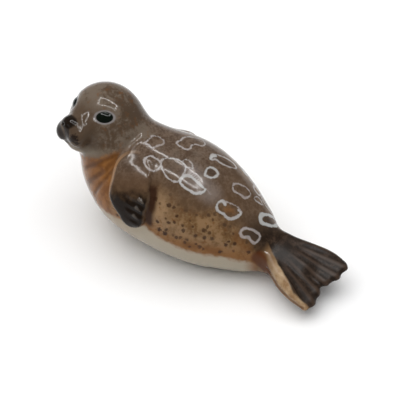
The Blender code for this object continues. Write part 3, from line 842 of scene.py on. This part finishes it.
def front_flippers(g, looks, marks):
    """Brown front flippers with black ends, a light front edge and a painted shade behind them."""
    broad, fine, _, _ = marks
    outline, length, rear = (g.place(name) for name in FLIPPER_PLACES)
    inside = (outline + fine * 0.3).fall(-0.35, 0.15)
    # Painted shade: red brown in the hollow behind each flipper's rear edge, where the pad stands off the
    # skin
    shade_behind = (outline + fine * 0.5).fall(0.9, 2.0) * rear.rise(0.8, 2.4) * (length + fine * 0.2).rise(0.05, 0.4)
    shade_behind = shade_behind * g.place("belly").rise(-0.2, 1.4)
    edge = abs(outline - 0.10).fall(0.20, 0.42) * rear.fall(-0.6, 1.0) * length.rise(-0.6, -0.1)
    return (
        (inside * (length + fine * 0.4).rise(-0.9, 0.4) * 0.55, looks.head_dark),
        (inside * (length + broad * 0.6).rise(-0.3, 0.3) * 0.15, looks.neck_brown),
        (shade_behind * (1.0 - inside) * 0.95, looks.painted_rear_shade),
        (inside * (length + fine * 0.45).rise(0.20, 0.72), looks.black),
        (edge * 0.8, looks.flipper_edge),
        (g.place("claw").fall(-0.05, 0.10) * 0.7, looks.claw))


def spots_and_rings(g, looks, marks, on_ring):
    """Soft spots, fine pale strokes over a haze (pale paint and a painted reflection), and the pale rings."""
    broad, fine, _, _ = marks
    paint_and_sheen, at, tint = g.place("paint_and_sheen"), g.place("paint_and_sheen_at"), g.place("ring_tint")
    stripes = (at * (PAINT_AND_SHEEN_STREAKS * 2.0 * math.pi) + fine * 2.5).wave().rise(-1.0, 1.0) * 0.6 + 0.4
    paint_and_sheen_strokes = (paint_and_sheen + fine * 1.6 + at * 0.8).fall(-0.6, 0.1) * stripes
    strength = (fine * 0.9 + 0.74 + tint * 0.2).lowest(0.95)
    return (
        ((g.place("ochre_spot") + fine * 2.2).fall(-0.5, 0.4) * 0.42, looks.neck),
        ((g.place("dark_spot") + fine * 0.5).fall(-0.2, 0.25) * 0.75, looks.back_deep),
        # Painted reflection mixed with pale paint: a pale haze and fine strokes at the end of the largest
        # ring
        ((paint_and_sheen + broad * 2.0).fall(-0.4, 2.4) * 0.22, looks.ring),
        (paint_and_sheen_strokes * (fine + 0.75), looks.ring),
        (on_ring * strength, g.mix(tint + fine * 0.6, looks.ring, looks.ring_blue)))


def muzzle_and_eyes(g, looks, marks):
    """Dark whisker pads, lips and nose, and rimmed dark eyes."""
    _, fine, _, grain = marks
    pad, eye = g.place("pad").fall(0.1, 0.7), g.place("eye") + 0.10
    far_pad = g.place("head_left").fall(-0.6, 0.4)
    blotch = (g.place("blotch") + fine * 2.8 + grain * 2.0).fall(-0.40, 0.15)
    lips = (g.place("lip_line") + fine * 0.3).fall(-0.1, 0.25)
    return (
        (pad * 0.35, looks.head_dark),
        (blotch.highest(lips).highest(pad * far_pad) * 0.92, looks.blotch),
        ((g.place("nose") + fine * 0.2).fall(0.25, 0.5), looks.black),
        ((eye + fine * 0.15).fall(0.22, 0.42) * 0.75, looks.eye_rim),
        (eye.fall(-0.02, 0.10), looks.eye))


def glaze(looks):
    """Brushed underglaze colours under one clear glossy glaze."""
    g = Paint("painted glaze")
    marks = [g.noise(*mark) for mark in BRUSH_MARKS]
    broad, fine, _, grain = marks
    ring = g.place("ring") + fine * 0.60 + broad * 0.45 + grain * 0.30
    on_ring = ring.fall(*RING_EDGE)
    colour = looks.tan
    for layer in (flank_and_back, neck_and_head, belly_and_tail, front_flippers):
        colour = g.over(colour, *layer(g, looks, marks))
    colour = g.over(colour, *spots_and_rings(g, looks, marks, on_ring), *muzzle_and_eyes(g, looks, marks))
    g.feed(g.shader.inputs["Base Color"], colour)

    along, across = g.place("fan_along"), g.place("fan_across")
    worn = (along + fine * 1.5).rise(-2.5, 1.0) * (across - along * 0.4).fall(1.6, 3.0) * WORN_ROUGH
    g.feed(g.shader.inputs["Roughness"], GLOSS + (fine + 0.5) * MARK_ROUGH + on_ring * RING_ROUGH + worn)
    ripple = g.node("ShaderNodeBump", None, {"Strength": RIPPLE_STRENGTH, "Distance": RIPPLE_HEIGHT,
                                             "Height": broad + fine * 0.4 - ring.rise(-0.1, 0.2)}, "Normal")
    g.feed(g.shader.inputs["Normal"], ripple)
    g.shader.inputs["IOR"].default_value = GLAZE_IOR
    return g.material


def marks_tree():
    """Scatters the flank's specks, and keeps each point's distance to specks and rings."""
    tree = bpy.data.node_groups.new("specks and rings", "GeometryNodeTree")
    tree.interface.new_socket("Geometry", in_out="OUTPUT", socket_type="NodeSocketGeometry")
    for name, kind in (("Geometry", "Geometry"), ("Ring lines", "Object"), ("Speck spacing", "Float"),
                       ("Most specks", "Float"), ("Smallest speck", "Float"), ("Largest speck", "Float"),
                       ("Seed", "Int"), ("Glaze", "Material")):
        tree.interface.new_socket(name, in_out="INPUT", socket_type="NodeSocket" + kind)
    g = Nodes(tree)
    given = tree.nodes.new("NodeGroupInput").outputs
    given = {socket.name: Value(g, socket) for socket in given if socket.name}

    def kept(name):
        return g.node("GeometryNodeInputNamedAttribute", None, {"Name": name})

    def of_nearest(target, value):
        nearest = g.node("GeometryNodeSampleNearest", None, {"Geometry": target})
        return g.node("GeometryNodeSampleIndex", None, {"Geometry": target, "Value": value, "Index": nearest})

    def distance(target, element):
        return g.node("GeometryNodeProximity", {"target_element": element}, {0: target}, "Distance")

    specks = g.node("GeometryNodeDistributePointsOnFaces", {"distribute_method": "POISSON"},
                    {"Mesh": given["Geometry"], "Distance Min": given["Speck spacing"],
                     "Density Max": given["Most specks"], "Density Factor": kept("speckled"),
                     "Seed": given["Seed"]})
    radius = g.node("FunctionNodeRandomValue", None,
                    {LEAST: given["Smallest speck"], MOST: given["Largest speck"]}, DRAWN)
    speck = (distance(specks, "POINTS") - of_nearest(specks, radius)) / MM
    rings = g.node("GeometryNodeObjectInfo", {"transform_space": "RELATIVE"}, {"Object": given["Ring lines"]},
                   "Geometry")
    ring = distance(rings, "EDGES") / MM - of_nearest(rings, kept("half_width"))
    made = given["Geometry"]
    for name, value in (("speck", speck), ("ring", ring), ("ring_tint", of_nearest(rings, kept("tint")))):
        stored = {"Geometry": made, "Name": name, "Value": value}
        made = g.node("GeometryNodeStoreNamedAttribute", None, stored)
    made = g.node("GeometryNodeRealizeInstances", None, {0: made})
    made = g.node("GeometryNodeSetMaterial", None, {"Geometry": made, "Material": given["Glaze"]})
    tree.links.new(made.socket, tree.nodes.new("NodeGroupOutput").inputs[0])
    return tree


def plain_mesh(obj, tree, values):
    """Runs a tree on an object and keeps the result as its plain mesh."""
    modifier = obj.modifiers.new(tree.name, "NODES")
    modifier.node_group = tree
    for item in tree.interface.items_tree:
        if item.in_out == "INPUT" and item.name in values:
            modifier[item.identifier] = values[item.name]
    bpy.context.view_layer.update()
    graph = bpy.context.evaluated_depsgraph_get()
    mesh = bpy.data.meshes.new_from_object(obj.evaluated_get(graph))
    obj.modifiers.remove(modifier)
    obj.data = mesh
    return mesh


def ring_object(laid, shift):
    """Ring lines as edges, each point with its line's half width and tint."""
    points, edges, looks = [], [], []
    for half, tint, line in laid:
        first = len(points)
        points += [tuple((np.array(at) - shift) * MM) for at in line]
        edges += [(first + i, first + i + 1) for i in range(len(line) - 1)]
        looks += [(half, tint)] * len(line)
    mesh = bpy.data.meshes.new("ring_lines")
    mesh.from_pydata(points, edges, [])
    keep_on_points(mesh, dict(zip(("half_width", "tint"), np.array(looks).T)))
    return new_object("ring_lines", mesh)


def keep_on_points(mesh, places):
    for name, value in places.items():
        kept = mesh.attributes.new(name, "FLOAT", "POINT")
        kept.data.foreach_set("value", value.astype(np.float32))


def tone(name, description, default):
    return FloatVectorProperty(name=name, description=description, default=default, subtype="COLOR",
                               size=3, min=0.0, max=1.0)


class SealLooks(bpy.types.PropertyGroup):
    """Sizes and glaze colours that a user may change."""

    grid: FloatProperty(name="Mesh grid", description="Spacing of the modelled skin's points, in millimetres",
                        default=FINE_GRID, min=0.2, max=1.0)
    speck_spacing: FloatProperty(name="Speck spacing", description="Least distance between two specks",
                                 default=0.00075, min=0.0003, max=0.01, unit="LENGTH", precision=5)
    speck_radius: FloatProperty(name="Speck radius", description="Radius of the largest speck",
                                default=0.00044, min=0.00005, max=0.002, unit="LENGTH", precision=5)
    tan: tone("Flank tan", "Light ground of the flank", (0.245, 0.145, 0.070))
    tan_dark: tone("Flank brown", "Darker clouds of the flank", (0.135, 0.070, 0.027))
    tan_light: tone("Flank, lightest", "Light tan behind the flippers", (0.300, 0.195, 0.110))
    orange: tone("Flank orange", "Warm edge above the belly", (0.210, 0.085, 0.020))
    speck: tone("Specks", "Dark specks of the flank", (0.036, 0.016, 0.007))
    back_warm: tone("Back, lower edge", "Warm brown where the coat meets the flank", (0.100, 0.056, 0.027))
    stroke: tone("Neck strokes", "Brown strokes along the neck's folds", (0.100, 0.038, 0.010))
    back: tone("Back", "Brown of the back", (0.134, 0.092, 0.064))
    back_dark: tone("Back, dark", "Darker brush marks of the back", (0.072, 0.044, 0.028))
    back_deep: tone("Back, deepest", "Dark brown inside some rings", (0.055, 0.036, 0.025))
    back_grey: tone("Back, grey", "Greyish clouds of the back", (0.135, 0.108, 0.085))
    neck: tone("Neck ochre", "Ochre of the neck and chest", (0.235, 0.098, 0.028))
    neck_brown: tone("Neck brown", "Brown clouds of the neck", (0.150, 0.056, 0.013))
    head: tone("Head", "Grey brown of the head", (0.135, 0.103, 0.076))
    head_dark: tone("Head, dark", "Darker brown of the head", (0.074, 0.048, 0.03))
    throat: tone("Throat", "Pale grey under the chin", (0.185, 0.150, 0.110))
    belly: tone("Belly", "White grey glaze of the underside", (0.370, 0.320, 0.245))
    tail: tone("Hind flippers", "Near black brown of the hind flippers", (0.015, 0.008, 0.004))
    tail_grey: tone("Hind flippers, worn", "Thinner glaze on the rays", (0.060, 0.036, 0.023))
    red_brown: tone("Tail red brown", "Red brown patch and line at the tail", (0.080, 0.024, 0.007))
    cream: tone("Tail side", "Cream band along the tail's near side", (0.430, 0.310, 0.190))
    black: tone("Black", "Front flippers' ends and the nose", (0.009, 0.0045, 0.002))
    flipper_edge: tone("Flipper edge", "Light line round the flippers", (0.300, 0.170, 0.085))
    # Painted shade in the hollow behind the front flippers
    painted_rear_shade: tone("Flipper shade", "Red brown behind the flippers", (0.024, 0.007, 0.002))
    claw: tone("Claws", "Pale claws", (0.150, 0.125, 0.105))
    ring: tone("Rings", "Pale rings of the coat", (0.390, 0.350, 0.335))
    ring_blue: tone("Rings, blue", "Bluish parts of the rings", (0.430, 0.430, 0.420))
    blotch: tone("Muzzle blotches", "Dark blotches of the whisker pads", (0.012, 0.007, 0.005))
    eye: tone("Eyes", "Green black of the eyes", (0.001, 0.003, 0.001))
    eye_rim: tone("Eye rims", "Pale grey round the eyes", (0.230, 0.215, 0.215))


def new_object(name, data):
    obj = bpy.data.objects.new(name, data)
    bpy.context.scene.collection.objects.link(obj)
    return obj


class SEAL_OT_casting(bpy.types.Operator):
    """Models the casting on a fine mesh, and paints it"""

    bl_idname = "seal.casting"
    bl_label = "Seal casting"

    def execute(self, context):
        looks = context.scene.seal_looks
        size = looks.grid
        axes, values = near_skin(BOX_LOW, BOX_HIGH, size)
        p, faces = skin(axes, values, size)
        p = settle(p)
        p[p[:, 2] < FLAT_TOLERANCE, 2] = 0.0
        shift = np.append((p[:, :2].min(axis=0) + p[:, :2].max(axis=0)) / 2.0, 0.0)
        tree = BVHTree.FromPolygons([tuple(c) for c in p], [tuple(int(i) for i in f) for f in faces])
        places = paint_places(p)
        for name, spots in SPOTS.items():
            laid = [(r, laid_on_skin(tree, line)) for r, line in spots]
            places[name] = np.min([line_distance(p, line)[0] - r for r, line in laid], axis=0)
        # Where the painted reflection and pale strokes at the end of the largest ring lie
        away, places["paint_and_sheen_at"] = line_distance(p, laid_on_skin(tree, PAINT_AND_SHEEN_LINE))
        places["paint_and_sheen"] = away - PAINT_AND_SHEEN_REACH
        mesh = bpy.data.meshes.new("seal_casting")
        at = np.clip((p - shift) * MM, np.array(SEAL_LOW), np.array(SEAL_HIGH))
        mesh.from_pydata(at.tolist(), [], faces.tolist())
        mesh.update()
        places["speckled"] = speckled(places)
        keep_on_points(mesh, places)
        obj = new_object("seal_casting", mesh)
        rings = ring_object(ring_lines(tree), shift)
        mesh = plain_mesh(obj, marks_tree(), {
            "Ring lines": rings, "Speck spacing": looks.speck_spacing, "Most specks": MOST_SPECKS,
            "Smallest speck": looks.speck_radius * SMALLEST_SPECK, "Largest speck": looks.speck_radius,
            "Seed": SPECK_SEED, "Glaze": glaze(looks)})
        bpy.data.objects.remove(rings)
        mesh.shade_smooth()
        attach(obj, BODY)
        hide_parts("seal")
        return {"FINISHED"}


def soft_room():
    """A pale room: bright overhead and behind the seal, dimmer on the painter's side."""
    world = bpy.data.worlds.new("studio")
    world.use_nodes = True
    g = Nodes(world.node_tree)
    dim_way = tuple(eye_frame(EYE_AZIMUTH, ROOM_DIM_ELEVATION)[2])
    way = g.node("ShaderNodeTexCoord", output="Generated")
    facing = g.node("ShaderNodeVectorMath", {"operation": "DOT_PRODUCT"}, {0: way, 1: dim_way}, "Value")
    level = ROOM_BRIGHT - facing.rise(*ROOM_DIM_FROM) * (ROOM_BRIGHT - ROOM_DIM)
    sky = world.node_tree.nodes["Background"]
    sky.inputs["Color"].default_value = (1.0, 1.0, 1.0, 1.0)
    g.feed(sky.inputs["Strength"], level)
    return world


class SEAL_OT_studio(bpy.types.Operator):
    """Sets up the floor, the lamps and the camera"""

    bl_idname = "seal.studio"
    bl_label = "Studio"

    def execute(self, context):
        scene = context.scene
        bpy.ops.mesh.primitive_plane_add(size=FLOOR_SIZE)
        floor = context.active_object
        floor.name = "floor"
        pale = Paint("pale floor")
        pale.feed(pale.shader.inputs["Base Color"], FLOOR_COLOUR)
        pale.feed(pale.shader.inputs["Roughness"], FLOOR_ROUGH)
        floor.data.materials.append(pale.material)

        scene.world = soft_room()
        overhead_lamps()

        right, up, back = eye_frame(EYE_AZIMUTH, EYE_ELEVATION)
        middle = np.array(EYE_SHIFT)
        eye = (up * EYE_AIM_UP + back * EYE_DISTANCE - middle) * MM
        camera = new_object("camera", bpy.data.cameras.new("camera"))
        camera.data.lens = FOCAL_LENGTH
        camera.data.sensor_width = SENSOR
        camera.data.clip_start, camera.data.clip_end = CAMERA_REACH
        turn = Matrix((right, up, back)).transposed().to_4x4()
        camera.matrix_world = Matrix.Translation(Vector(eye)) @ turn
        scene.camera = camera
        scene.view_settings.view_transform = "Standard"
        return {"FINISHED"}


def overhead_lamp(name, at, size, power):
    """A flat lamp that faces down, which the camera doesn't see."""
    lamp = bpy.data.lights.new(name, "AREA")
    lamp.shape = "RECTANGLE"
    lamp.size, lamp.size_y = size
    lamp.energy = power
    obj = new_object(name, lamp)
    obj.location = at
    obj.visible_camera = False
    return obj


def overhead_lamps():
    """Four narrow lamps round an overhead window, and a dim soft one that fills it."""
    (x, y, z), (wide, long) = WINDOW_AT, WINDOW_SIZE
    sides = ((wide / 2.0, 0.0, WINDOW_BAR, long), (-wide / 2.0, 0.0, WINDOW_BAR, long),
             (0.0, long / 2.0, wide, WINDOW_BAR), (0.0, -long / 2.0, wide, WINDOW_BAR))
    for i, (across, along, *size) in enumerate(sides):
        power = WINDOW_GLOW * size[0] * size[1]
        side = overhead_lamp("window side %d" % (i + 1), (x + across, y + along, z), size, power)
        side.visible_diffuse = False
    fill = overhead_lamp("soft overhead", FILL_AT, (FILL_WIDTH, FILL_WIDTH), FILL_POWER)
    fill.visible_glossy = False


class SEAL_PT_panel(bpy.types.Panel):
    """The seal's steps and looks in the sidebar"""

    bl_idname = "SEAL_PT_panel"
    bl_label = "Seal"
    bl_space_type = "VIEW_3D"
    bl_region_type = "UI"
    bl_category = "Seal"

    def draw(self, context):
        for step in STEPS:
            self.layout.operator("seal." + step)
        for name in SealLooks.__annotations__:
            self.layout.prop(context.scene.seal_looks, name)


STEPS = ("casting", "studio")
CLASSES = (SealLooks, SEAL_OT_casting, SEAL_OT_studio, SEAL_PT_panel)


def register():
    for cls in CLASSES:
        bpy.utils.register_class(cls)
    bpy.types.Scene.seal_looks = PointerProperty(type=SealLooks)


def unregister():
    del bpy.types.Scene.seal_looks
    for cls in reversed(CLASSES):
        bpy.utils.unregister_class(cls)


def main():
    register()
    for step in STEPS:
        getattr(bpy.ops.seal, step)()


if __name__ == "__main__":
    main()
